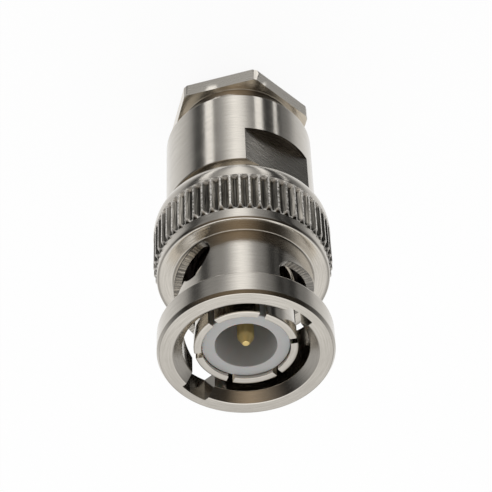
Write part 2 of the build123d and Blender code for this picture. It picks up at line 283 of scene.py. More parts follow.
def rounded(profile, edges):
    """The closed profile with each corner rounded off over its own edge length."""
    made = []
    for index, corner in enumerate(profile):
        edge = edges[index]
        here = Vector(corner)
        if not edge:
            made.append(here)
            continue
        to_last = (Vector(profile[index - 1]) - here).normalized()
        to_next = (Vector(profile[(index + 1) % len(profile)]) - here).normalized()
        start, end = here + to_last * edge, here + to_next * edge
        made.append(here + to_last * edge * EDGE_HOLD)
        for step in range(EDGE_STEPS + 1):
            part = step / EDGE_STEPS
            made.append(
                start * (1 - part) ** 2 + here * 2 * part * (1 - part) + end * part**2
            )
        made.append(here + to_next * edge * EDGE_HOLD)
    return made


def even_turn(count):
    """Angles of an even division of the full turn."""
    return [2 * pi * step / count for step in range(count)]


def finish_mesh(mesh, merge=0.0):
    """Merges doubles, turns the faces outwards and smooths all but the sharp edges."""
    work = bmesh.new()
    work.from_mesh(mesh)
    if merge:
        bmesh.ops.remove_doubles(work, verts=work.verts, dist=merge)
    bmesh.ops.recalc_face_normals(work, faces=work.faces)
    work.to_mesh(mesh)
    work.free()
    mesh.shade_smooth()
    mesh.set_sharp_from_angle(angle=SHARP_ANGLE)
    mesh.update()


def new_piece(name, verts, faces, *materials):
    """A mesh object at the origin with the given materials."""
    mesh = bpy.data.meshes.new(name)
    mesh.from_pydata([tuple(v) for v in verts], [], faces)
    for material in materials:
        mesh.materials.append(material)
    piece = bpy.data.objects.new(name, mesh)
    bpy.context.scene.collection.objects.link(piece)
    return piece


def lathe(name, profile, angles, material, closed=True):
    """Turns a profile of (radius, height) about the axis, at the given angles."""
    rows = len(profile)
    verts = [
        (point[0] * cos(angle), point[0] * sin(angle), point[1])
        for angle in angles
        for point in profile
    ]
    faces = []
    for column in range(len(angles)):
        here, there = column * rows, (column + 1) % len(angles) * rows
        for row in range(rows if closed else rows - 1):
            after = (row + 1) % rows
            faces.append((here + row, there + row, there + after, here + after))
    piece = new_piece(name, verts, faces, material)
    finish_mesh(piece.data, merge=TINY)
    return piece


def turned(name, profile, edges, steps, material, closed=True):
    """A piece turned from a profile with rounded corners."""
    return lathe(name, rounded(profile, edges), even_turn(steps), finish(material), closed)


def slab(name, loops, material):
    """A closed solid through loops of points, one after the other.

    Each end is closed by strips between the points that lie across from each other,
    counted from the loop's first and last point.
    """
    count = len(loops[0])
    verts = [point for loop in loops for point in loop]
    faces = []
    for base in (0, len(verts) - count):
        for index in range((count - 1) // 2):
            corners = (index, index + 1, count - 2 - index, count - 1 - index)
            faces.append(tuple(base + corner for corner in dict.fromkeys(corners)))
    for level in range(len(loops) - 1):
        base = level * count
        for index in range(count):
            after = (index + 1) % count
            faces.append(
                (base + index, base + after, base + count + after, base + count + index)
            )
    piece = new_piece(name, verts, faces, material)
    finish_mesh(piece.data)
    return piece


def block_loops(sides, low, high):
    """Rectangles for slab, one for each (distance from the axis, half width)."""
    return [
        [
            Vector((away, -wide, low)),
            Vector((away, wide, low)),
            Vector((away, wide, high)),
            Vector((away, -wide, high)),
        ]
        for away, wide in sides
    ]


def frozen(piece):
    """Replaces the piece by its evaluated mesh and removes its modifiers."""
    bpy.context.view_layer.update()
    graph = bpy.context.evaluated_depsgraph_get()
    mesh = bpy.data.meshes.new_from_object(piece.evaluated_get(graph), depsgraph=graph)
    piece.modifiers.clear()
    old = piece.data
    piece.data = mesh
    bpy.data.meshes.remove(old)


def cut(piece, *cutters):
    """Cuts the solids out of the piece. The cut faces take the cutters' material."""
    for cutter in cutters:
        modifier = piece.modifiers.new(cutter.name, "BOOLEAN")
        modifier.operation = "DIFFERENCE"
        modifier.solver = "EXACT"
        modifier.material_mode = "TRANSFER"
        modifier.object = cutter
    frozen(piece)
    finish_mesh(piece.data, merge=2 * TINY)
    for cutter in cutters:
        bpy.data.objects.remove(cutter)


def put(tree, kind, *inputs, output=0, **settings):
    """Adds a node, feeds its inputs in order and gives one of its outputs."""
    made = tree.nodes.new(kind)
    for key, value in settings.items():
        setattr(made, key, value)
    for index, value in enumerate(inputs):
        if isinstance(value, bpy.types.NodeSocket):
            tree.links.new(value, made.inputs[index])
        elif value is not None:
            made.inputs[index].default_value = value
    return made.outputs[output]


def calc(tree, operation, *inputs):
    """Adds a Math node."""
    return put(tree, "ShaderNodeMath", *inputs, operation=operation)


def clamped(tree, value):
    """The value kept between nothing and one."""
    return put(tree, "ShaderNodeClamp", value, 0.0, 1.0)


def swing(tree, value, gain, middle):
    """A noise value's swing about one half, times the gain, about another middle."""
    return calc(tree, "MULTIPLY_ADD", calc(tree, "SUBTRACT", value, 0.5), gain, middle)


def noise(tree, place, scale, detail, roughness):
    """A noise texture's value, which has its middle near one half."""
    return put(tree, "ShaderNodeTexNoise", place, None, scale, detail, roughness)


def ramp(tree, value, low, high, at_low, at_high):
    """A number that goes from one level to another while the value goes from low to high."""
    return put(tree, "ShaderNodeMapRange", value, low, high, at_low, at_high)


def split_up(tree, place):
    """The three coordinates of a place."""
    split = tree.nodes.new("ShaderNodeSeparateXYZ")
    tree.links.new(place, split.inputs[0])
    return split.outputs


def about_axis(tree, place):
    """Coordinates of a place and its distance from the axis."""
    x, y, z = split_up(tree, place)
    squares = calc(tree, "ADD", calc(tree, "MULTIPLY", x, x), calc(tree, "MULTIPLY", y, y))
    return x, y, z, calc(tree, "SQRT", squares)


def scaled(tree, vector, factor):
    """The vector times a number."""
    made = put(tree, "ShaderNodeVectorMath", vector, operation="SCALE")
    if isinstance(factor, bpy.types.NodeSocket):
        tree.links.new(factor, made.node.inputs["Scale"])
    else:
        made.node.inputs["Scale"].default_value = factor
    return made


def mixed_colour(tree, share_of_second, first, second):
    """Adds a Mix node for two colours."""
    made = tree.nodes.new("ShaderNodeMix")
    made.data_type = "RGBA"
    for index, value in ((0, share_of_second), (6, first), (7, second)):
        if isinstance(value, bpy.types.NodeSocket):
            tree.links.new(value, made.inputs[index])
        else:
            made.inputs[index].default_value = value
    return made.outputs[2]


def sweep_ramp(tree, around, stops):
    """Adds a colour ramp over a full turn, with stops in degrees from the front."""
    made = tree.nodes.new("ShaderNodeValToRGB")
    tree.links.new(around, made.inputs[0])
    elements = made.color_ramp.elements
    while len(elements) < len(stops):
        elements.new(0.5)
    for element, (degrees, level) in zip(elements, stops):
        element.position = 0.5 + degrees / 360
        element.color = (level, level, level, 1.0)
    return made.outputs[0]


def toned(tone, factor):
    """The colour made lighter or darker, never past white."""
    return tuple(min(1.0, factor * part) for part in tone[:3]) + (1.0,)


def geometry_tree(name, sockets):
    """A Geometry Nodes tree with a geometry input and output and named number inputs."""
    tree = bpy.data.node_groups.new(name, "GeometryNodeTree")
    tree.interface.new_socket("Geometry", in_out="OUTPUT", socket_type="NodeSocketGeometry")
    tree.interface.new_socket("Geometry", in_out="INPUT", socket_type="NodeSocketGeometry")
    for label, kind in sockets:
        tree.interface.new_socket(label, in_out="INPUT", socket_type="NodeSocket" + kind)
    return tree, tree.nodes.new("NodeGroupInput").outputs


def end_tree(tree, geometry, *paints):
    """Ends a tree in Realize Instances and Set Material, for each (selection, material)."""
    made = put(tree, "GeometryNodeRealizeInstances", geometry)
    for selection, material in paints:
        made = put(tree, "GeometryNodeSetMaterial", made, selection, material)
    tree.links.new(made, tree.nodes.new("NodeGroupOutput").inputs[0])


def run_tree(piece, tree, material, values):
    """Runs a tree on the piece with the given inputs and keeps the plain mesh."""
    modifier = piece.modifiers.new(tree.name, "NODES")
    modifier.node_group = tree
    values = values | {"Material": material}
    for item in tree.interface.items_tree:
        if item.in_out == "INPUT" and item.name in values:
            modifier[item.identifier] = values[item.name]
    frozen(piece)


def move_radially(tree, geometry, selection, x, y, z, old_radius, new_radius):
    """Sets the radius of the selected points and leaves their angle and height."""
    scale = calc(tree, "DIVIDE", new_radius, old_radius)
    x, y = (calc(tree, "MULTIPLY", part, scale) for part in (x, y))
    place = put(tree, "ShaderNodeCombineXYZ", x, y, z)
    return put(tree, "GeometryNodeSetPosition", geometry, selection, place)


def both(tree, first, second):
    """True where both are true."""
    return put(tree, "FunctionNodeBooleanMath", first, second, operation="AND")


def above(tree, value, limit):
    """True where the value is above the limit."""
    kind = {"data_type": "FLOAT", "operation": "GREATER_THAN"}
    return put(tree, "FunctionNodeCompare", value, limit, **kind)


def tooth_surfaces(tree, given, angle, z):
    """Radius over a tooth's flanks and crest, and that over its bevelled front."""
    from_crest = calc(tree, "SUBTRACT", angle, given["First tooth"])
    aside = calc(tree, "PINGPONG", from_crest, calc(tree, "DIVIDE", pi, given["Teeth"]))
    aside = calc(tree, "MULTIPLY", aside, given["Root radius"])
    half_base = calc(tree, "DIVIDE", given["Base width"], 2.0)
    flank = calc(tree, "SUBTRACT", half_base, calc(tree, "DIVIDE", given["Crest width"], 2.0))
    climb = clamped(tree, calc(tree, "DIVIDE", calc(tree, "SUBTRACT", half_base, aside), flank))
    height = calc(tree, "SUBTRACT", given["Tip radius"], given["Root radius"])
    tooth = calc(tree, "MULTIPLY_ADD", climb, height, given["Root radius"])
    bevel = calc(tree, "ADD", calc(tree, "SUBTRACT", given["Front"], z), given["Root radius"])
    return tooth, bevel


def knurl_tree():
    """Presses straight teeth into a band that was turned to the tip radius."""
    sockets = [(name, "Int" if name == "Teeth" else "Float") for name in GRIP_SIZES]
    sockets += [("Material", "Material"), ("Grip material", "Material")]
    tree, given = geometry_tree("Knurled grip", sockets)
    x, y, z, radius = about_axis(tree, put(tree, "GeometryNodeInputPosition"))
    angle = calc(tree, "ARCTAN2", y, x)
    tooth, bevel = tooth_surfaces(tree, given, angle, z)
    new_radius = calc(tree, "MINIMUM", tooth, bevel)
    new_radius = calc(tree, "MAXIMUM", new_radius, given["Root radius"])
    inside = both(
        tree,
        above(tree, z, given["Rear"]),
        both(tree, above(tree, given["Front"], z), above(tree, radius, given["Root radius"])),
    )
    moved = move_radially(tree, given["Geometry"], inside, x, y, z, radius, new_radius)
    inner = calc(tree, "SUBTRACT", given["Root radius"], 2 * HAIR)
    grip = both(
        tree,
        above(tree, z, calc(tree, "SUBTRACT", given["Rear"], 2 * HAIR)),
        both(tree, above(tree, given["Front"], z), above(tree, radius, inner)),
    )
    end_tree(tree, moved, (None, given["Material"]), (grip, given["Grip material"]))
    return tree


def thread_tree():
    """Cuts a right-hand thread into a rod that was turned to the crest radius."""
    names = ("Crest radius", "Bore radius", "Pitch", "Depth", "Low", "High")
    sockets = [(name, "Float") for name in names]
    tree, given = geometry_tree("Screw thread", sockets + [("Material", "Material")])
    x, y, z, radius = about_axis(tree, put(tree, "GeometryNodeInputPosition"))
    angle = calc(tree, "ARCTAN2", y, x)
    turns = calc(tree, "DIVIDE", angle, 2 * pi)
    along = calc(tree, "DIVIDE", calc(tree, "SUBTRACT", z, given["Low"]), given["Pitch"])
    wave = calc(tree, "PINGPONG", calc(tree, "SUBTRACT", along, turns), 0.5)
    wave = calc(tree, "MULTIPLY", wave, 2.0)
    from_high = calc(tree, "DIVIDE", calc(tree, "SUBTRACT", given["High"], z), given["Pitch"])
    fade = clamped(tree, calc(tree, "MULTIPLY", calc(tree, "MINIMUM", along, from_high), 2.0))
    sunk = calc(tree, "MULTIPLY", calc(tree, "MULTIPLY", wave, fade), given["Depth"])
    new_radius = calc(tree, "SUBTRACT", given["Crest radius"], sunk)
    middle = calc(tree, "ADD", given["Crest radius"], given["Bore radius"])
    inside = both(
        tree,
        above(tree, radius, calc(tree, "DIVIDE", middle, 2.0)),
        both(tree, above(tree, z, given["Low"]), above(tree, given["High"], z)),
    )
    moved = move_radially(tree, given["Geometry"], inside, x, y, z, radius, new_radius)
    end_tree(tree, moved, (None, given["Material"]))
    return tree


def copies_tree():
    """Sets copies of a mesh at even turns about the axis."""
    sockets = [("Copies", "Int"), ("First angle", "Float"), ("Material", "Material")]
    tree, given = geometry_tree("Copies about the axis", sockets)
    points = put(tree, "GeometryNodePoints", given["Copies"])
    index = put(tree, "GeometryNodeInputIndex")
    step = calc(tree, "DIVIDE", 2 * pi, given["Copies"])
    angle = calc(tree, "MULTIPLY_ADD", index, step, given["First angle"])
    rotation = put(tree, "ShaderNodeCombineXYZ", 0.0, 0.0, angle)
    instances = tree.nodes.new("GeometryNodeInstanceOnPoints")
    tree.links.new(points, instances.inputs["Points"])
    tree.links.new(given["Geometry"], instances.inputs["Instance"])
    tree.links.new(rotation, instances.inputs["Rotation"])
    end_tree(tree, instances.outputs[0], (None, given["Material"]))
    return tree


def set_around(cutter, copies, first_angle):
    """Sets copies of a cutter at even turns about the axis."""
    tree = bpy.data.node_groups.get("Copies about the axis") or copies_tree()
    values = {"Copies": copies, "First angle": first_angle}
    run_tree(cutter, tree, cutter.data.materials[0], values)


def marks_group(name, numbers, more_outputs=()):
    """A shader group for tool marks.

    Takes two tones, a roughness and the named numbers, colours or directions, and gives a
    colour, a roughness and a height. Also returned: its inputs, its outputs and the place.
    """
    tree = bpy.data.node_groups.new(name, "ShaderNodeTree")
    kinds = {float: "Float", tuple: "Color", Vector: "Vector"}
    pale, dim = (0.8, 0.8, 0.8, 1.0), (0.6, 0.6, 0.6, 1.0)
    for label, value in ({"Light": pale, "Shade": dim, "Roughness": 0.3} | numbers).items():
        kind = "NodeSocket" + kinds[type(value)]
        tree.interface.new_socket(label, in_out="INPUT", socket_type=kind).default_value = value
    for label in ("Color", "Roughness", "Height") + more_outputs:
        kind = "NodeSocket" + ("Color" if label == "Color" else "Float")
        tree.interface.new_socket(label, in_out="OUTPUT", socket_type=kind)
    given, made = tree.nodes.new("NodeGroupInput"), tree.nodes.new("NodeGroupOutput")
    return tree, given.outputs, made.inputs, put(tree, "ShaderNodeTexCoord", output=3)


def end_marks(tree, made, mixed, rough, height):
    """Gives a marks group its colour, roughness and height."""
    for label, value in (("Color", mixed), ("Roughness", rough), ("Height", height)):
        tree.links.new(value, made[label])
    return tree


def lathe_marks_group():
    """Fine rings left by turning: colour, roughness and height that run round the axis."""
    numbers = {"Lines": 9.0, "Streaks": 3.0, "Contrast": 1.6}
    tree, given, made, place = marks_group("Lathe marks", numbers)
    x, y, z, radius = about_axis(tree, place)
    radius = calc(tree, "MAXIMUM", radius, HAIR)
    along = calc(tree, "MULTIPLY", calc(tree, "MULTIPLY_ADD", z, 1.3, radius), 1 / MM)
    across, up = (
        calc(tree, "MULTIPLY", calc(tree, "DIVIDE", part, radius), given["Streaks"])
        for part in (x, y)
    )
    sweep = put(
        tree, "ShaderNodeCombineXYZ", across, up, calc(tree, "MULTIPLY", along, given["Lines"])
    )
    fine = noise(tree, sweep, 1.0, 3.0, 0.65)
    cloud = noise(tree, place, 420.0, 2.0, 0.5)
    tone = swing(tree, cloud, 0.7, swing(tree, fine, given["Contrast"], 0.5))
    mixed = mixed_colour(tree, clamped(tree, tone), given["Shade"], given["Light"])
    rough = swing(tree, cloud, 0.10, swing(tree, fine, -0.22, given["Roughness"]))
    return end_marks(tree, made, mixed, rough, fine)


def straight_marks_group():
    """Straight strokes left by milling, along a given direction."""
    numbers = {"Direction": Vector((0.0, 0.0, 1.0)), "Lines": 8.0, "Across": 0.4}
    tree, given, made, place = marks_group("Milling marks", numbers)
    place = scaled(tree, place, 1 / MM)
    dot = put(tree, "ShaderNodeVectorMath", place, given["Direction"], operation="DOT_PRODUCT")
    along = calc(tree, "MULTIPLY", dot.node.outputs["Value"], given["Lines"])
    slow = scaled(tree, place, given["Across"])
    step = scaled(tree, given["Direction"], along)
    sweep = put(tree, "ShaderNodeVectorMath", slow, step, operation="ADD")
    fine = noise(tree, sweep, 1.0, 3.0, 0.6)
    tone = clamped(tree, swing(tree, fine, 1.8, 0.5))
    mixed = mixed_colour(tree, tone, given["Shade"], given["Light"])
    return end_marks(tree, made, mixed, swing(tree, fine, -0.25, given["Roughness"]), fine)


def grip_marks_and_light_group():
    """Painted highlights on the crests, along the bevel edges and at the teeth's rear ends, painted shade
    on the dull flanks, and fine lengthwise lines.
    """
    numbers = {"Painted highlight": (0.97, 0.93, 0.87, 1.0), "Edge width": 0.15 * MM}
    sizes = dict.fromkeys(GRIP_SIZES, 1.0)
    tree, given, made, place = marks_group("Grip marks", numbers | sizes, ("Metallic",))
    x, y, z, radius = about_axis(tree, place)
    angle = calc(tree, "ARCTAN2", y, x)
    tooth, bevel = tooth_surfaces(tree, given, angle, z)
    # Painted highlight mask along the bevel edges, where the tooth's surface meets its bevel
    near_edge = 1.0
    for surface in (tooth, bevel):
        gap = calc(tree, "ABSOLUTE", calc(tree, "SUBTRACT", surface, radius))
        near = calc(tree, "SUBTRACT", 1.0, calc(tree, "DIVIDE", gap, given["Edge width"]))
        near_edge = calc(tree, "MULTIPLY", near_edge, clamped(tree, near))
    near_edge = calc(tree, "POWER", near_edge, 0.5)
    rise = calc(tree, "SUBTRACT", given["Tip radius"], given["Root radius"])
    height = calc(tree, "DIVIDE", calc(tree, "SUBTRACT", radius, given["Root radius"]), rise)
    # Painted shade: darker towards the foot of the teeth, lighter towards the crests
    painted_valley_shade = ramp(tree, height, 0.0, 0.5, 0.35, 1.0)
    crest = ramp(tree, height, 0.95, 1.0, 0.0, 1.0)
    across, up = (
        calc(tree, "MULTIPLY", calc(tree, "DIVIDE", part, radius), 80.0) for part in (x, y)
    )
    lines = put(tree, "ShaderNodeCombineXYZ", across, up, calc(tree, "MULTIPLY", z, 0.45 / MM))
    lines = noise(tree, lines, 1.0, 3.0, 0.6)
    dots = noise(tree, place, 4200.0, 2.0, 0.6)
    highlight_patches = ramp(tree, dots, 0.35, 0.6, 0.3, 1.0)
    tone = calc(tree, "MULTIPLY_ADD", height, 0.25, swing(tree, lines, 3.2, 0.52))
    tone = calc(tree, "MULTIPLY", clamped(tree, tone), painted_valley_shade)
    base = mixed_colour(tree, tone, given["Shade"], given["Light"])
    # The painted highlight on the crests comes in random patches
    crest = calc(tree, "MULTIPLY", crest, highlight_patches)
    to_rear = calc(tree, "DIVIDE", calc(tree, "SUBTRACT", z, given["Rear"]), given["Edge width"])
    near_rear = ramp(tree, to_rear, 0.6, 2.0, 0.8, 0.0)
    # Painted highlight: crests, bevel edges and the teeth's rear ends take a bright, less metallic colour
    # that stands in for glints
    painted_highlight = calc(tree, "MAXIMUM", calc(tree, "MAXIMUM", crest, near_edge), near_rear)
    tree.links.new(calc(tree, "MULTIPLY_ADD", painted_highlight, -0.55, 1.0), made["Metallic"])
    mixed = mixed_colour(tree, painted_highlight, base, given["Painted highlight"])
    rough = calc(tree, "MULTIPLY_ADD", painted_highlight, 0.12, given["Roughness"])
    return end_marks(tree, made, mixed, rough, lines)


def mottle_group():
    """Soft uneven tone for plastics, rubber and plated small parts."""
    tree, given, made, place = marks_group("Mottle", {"Scale": 900.0})
    cloud = noise(tree, place, given["Scale"], 4.0, 0.6)
    mixed = mixed_colour(tree, cloud, given["Shade"], given["Light"])
    return end_marks(tree, made, mixed, swing(tree, cloud, 0.2, given["Roughness"]), cloud)


def tooth_sizes(ring):
    """Sizes of the grip's teeth, by the names that the node groups give them."""
    return {
        "First tooth": ring.first_tooth,
        "Root radius": ring.root_radius,
        "Tip radius": ring.tip_radius,
        "Crest width": ring.crest_width,
        "Base width": ring.base_width,
    }


def new_material(name, group, values, bump, distance, shader_values):
    """A Principled material whose colour, roughness and bump come from a shared group."""
    material = bpy.data.materials.new(name)
    material.use_nodes = True
    tree = material.node_tree
    shader = tree.nodes["Principled BSDF"]
    marks = tree.nodes.new("ShaderNodeGroup")
    marks.node_tree = group
    for key, value in values.items():
        marks.inputs[key].default_value = value
    tree.links.new(marks.outputs["Color"], shader.inputs["Base Color"])
    tree.links.new(marks.outputs["Roughness"], shader.inputs["Roughness"])
    if "Metallic" in marks.outputs:
        tree.links.new(marks.outputs["Metallic"], shader.inputs["Metallic"])
    relief = tree.nodes.new("ShaderNodeBump")
    relief.inputs["Strength"].default_value = bump
    relief.inputs["Distance"].default_value = distance
    tree.links.new(marks.outputs["Height"], relief.inputs["Height"])
    tree.links.new(relief.outputs["Normal"], shader.inputs["Normal"])
    for key, value in shader_values.items():
        shader.inputs[key].default_value = value
    return material


def finish(name):
    """The material of that name, made by the finishes operator."""
    return bpy.data.materials[name]


def dress(piece, node, body):
    """Hides the imported part that the piece replaces and sets the piece to move with the named body."""
    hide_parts(node)
    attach(piece, body)


class PLUG_OT_finishes(bpy.types.Operator):
    """Make the node groups and the materials"""

    bl_idname = "plug.finishes"
    bl_label = "Finishes"

    def execute(self, context):
        look = context.scene.plug_finish
        nickel, shade = tuple(look.nickel), tuple(look.nickel_shade)
        rings, strokes, mottle = lathe_marks_group(), straight_marks_group(), mottle_group()
        marks = look.mark_strength
        ring, body = context.scene.plug_ring, context.scene.plug_body
        grip_front = MATING_FACE - ring.shoulder_depth - ring.band_length
        along_flat = (0.25 * sin(body.flat_angle), -0.25 * cos(body.flat_angle), 1.0)
        grip_sizes = tooth_sizes(ring) | {
            "Teeth": float(ring.teeth),
            "Front": grip_front,
            "Rear": grip_front - ring.grip_length,
        }
        grip, gold, insulator = tuple(look.grip), tuple(look.gold), tuple(look.insulator)
        silicone, spring = tuple(look.silicone), tuple(look.spring)
        slot_marks = {"Lines": 0.3, "Streaks": 52.0, "Contrast": 3.2}
        # Name, group, light tone, dark tone, roughness, strength of the relief, its depth in
        # millimetres and the group's other values
        rows = (
            ("turned_nickel", rings, nickel, shade, look.turned_roughness, marks * 0.5, 0.02, {}),
            ("polished_nickel", rings, nickel, shade, 0.11, marks * 0.25, 0.01, {"Lines": 5.0}),
            # The grip's dark nickel and its near-black second tone are painted shade on the teeth's
            # flanks
            ("knurled_nickel", grip_marks_and_light_group(), grip, toned(grip, 0.08), 0.2, marks, 0.02, grip_sizes),
            # Darker copy of the nickel for the wrench flats: painted shade
            (
                "milled_nickel",
                strokes,
                toned(nickel, 0.68),
                toned(nickel, 0.42),
                look.milled_roughness,
                marks,
                0.03,
                {"Direction": along_flat},
            ),
            # Darker copy of the nickel for the slot entries: painted shade
            (
                "entry_nickel",
                rings,
                toned(nickel, 0.55),
                toned(nickel, 0.4),
                0.15,
                marks * 0.3,
                0.01,
                {"Lines": 2.0},
            ),
            # Dark brown copy of the nickel for the flats' shoulders: painted shade
            (
                "flat_shoulder_nickel",
                rings,
                (0.50, 0.44, 0.36, 1.0),
                (0.12, 0.10, 0.08, 1.0),
                0.24,
                marks,
                0.03,
                {"Lines": 4.0, "Contrast": 3.0},
            ),
            # Lighter copy of the nickel for the hexagon: painted light
            (
                "hexagon_nickel",
                strokes,
                toned(nickel, 1.16),
                nickel,
                0.24,
                marks * 0.6,
                0.02,
                {"Lines": 6.0},
            ),
            # Darker copy of the nickel for the cam slot walls: the ribs are milling marks, the darkness
            # is painted shade inside the slots
            (
                "slot_wall_nickel",
                rings,
                toned(nickel, 0.82),
                toned(look.nickel_shade, 0.2),
                0.2,
                marks,
                0.08,
                slot_marks,
            ),
            ("gilt", rings, gold, toned(gold, 0.8), 0.13, 0.2, 0.01, {}),
            ("white_insulator", mottle, insulator, toned(insulator, 0.93), 0.42, 0.15, 0.01, {}),
            ("dark_silicone", mottle, silicone, toned(silicone, 0.5), 0.6, 0.3, 0.02, {}),
            ("washer_nickel", rings, nickel, shade, 0.3, marks * 0.5, 0.02, {"Lines": 6.0}),
            ("spring_strip", mottle, spring, toned(spring, 0.8), 0.35, 0.2, 0.01, {}),
        )
        own_values = {
            "knurled_nickel": {},
            "white_insulator": {"Subsurface Weight": 0.25, "Subsurface Scale": 0.4 * MM},
            "dark_silicone": {},
        }
        for name, group, light, dark, roughness, strength, depth, more in rows:
            values = {"Light": light, "Shade": dark, "Roughness": roughness} | more
            own = own_values.get(name, {"Metallic": 1.0})
            new_material(name, group, values, strength, depth * MM, own)
        return {"FINISHED"}


def height_at(chain, x):
    """Height of a chain of points, in order of x, at the given x."""
    for before, after in zip(chain, chain[1:]):
        if x <= after[0]:
            wide = after[0] - before[0]
            part = (x - before[0]) / wide if wide else 0.0
            return before[1] + (after[1] - before[1]) * part
    return chain[-1][1]


def slot_outline(slot, ring):
    """Closed outline of a cam slot as (length along the tube, depth), unrolled.

    The front runs from the side wall at the entry to the tip of the slot's end, and the
    rear runs back at the same lengths, so that each point lies across from another.
    """
    unroll = ring.tube_radius
    front = ring.front_depth
    side, cam_start = -slot.side * unroll, slot.cam_start * unroll
    end = Vector((slot.end_turn * unroll, ring.shoulder_depth - slot.end_wall - slot.end_radius))
    detent = Vector((slot.detent_turn * unroll, end.y - slot.detent_rise))
    slot_length = end.x - side
    corner = slot.corner_turn * unroll

    def rear(x):
        return end.y + slot.end_radius - slot.rear_rise * (end.x - x) / slot_length

    def cam(x):
        return front + slot.cam_rise * (x - cam_start) / (detent.x - cam_start)

    rear_chain = []
    for step in range(13):
        sweep = pi / 2 * step / 12
        x = side + corner * (1 - cos(sweep))
        rear_chain.append((x, rear(x) - slot.corner_length * (1 - sin(sweep))))
    for step in range(13):
        sweep = pi / 2 * (1 - step / 12)
        rear_chain.append((end.x + slot.end_radius * cos(sweep), end.y + slot.end_radius * sin(sweep)))

    lean = atan2(end.y - detent.y, end.x - detent.x) - pi / 2
    front_chain = [(side, front), (cam_start, front)]
    for step in range(37):
        sweep = lean - pi * (1 - step / 36)
        x = detent.x + slot.detent_radius * cos(sweep)
        height = detent.y + slot.detent_radius * sin(sweep)
        if sweep > -pi / 2 or height < cam(x):
            front_chain.append((x, height))
    for step in range(7):
        sweep = lean * (1 - step / 6)
        front_chain.append((end.x + slot.end_radius * cos(sweep), end.y + slot.end_radius * sin(sweep)))

    places = [x for x, height in rear_chain + front_chain]
    places += [side + slot_length * step / 48 for step in range(1, 48)]
    places = sorted(set(round(x / MM, 2) * MM for x in places))
    outline = [Vector((x, height_at(front_chain, x))) for x in places]
    outline += [Vector((x, height_at(rear_chain, x))) for x in places[-2::-1]]
    return outline


def grown(outline, spread):
    """The outline with each point moved outwards, never back past the point before it."""
    made = []
    tip = len(outline) // 2
    for index, here in enumerate(outline):
        before, after = outline[index - 1], outline[(index + 1) % len(outline)]
        along = (after - before).normalized()
        moved = here + Vector((along.y, -along.x)) * spread
        if 0 < index <= tip:
            moved.x = max(moved.x, made[-1].x + TINY)
        elif index > tip:
            moved.x = min(moved.x, made[-1].x - TINY)
        made.append(moved)
    return made


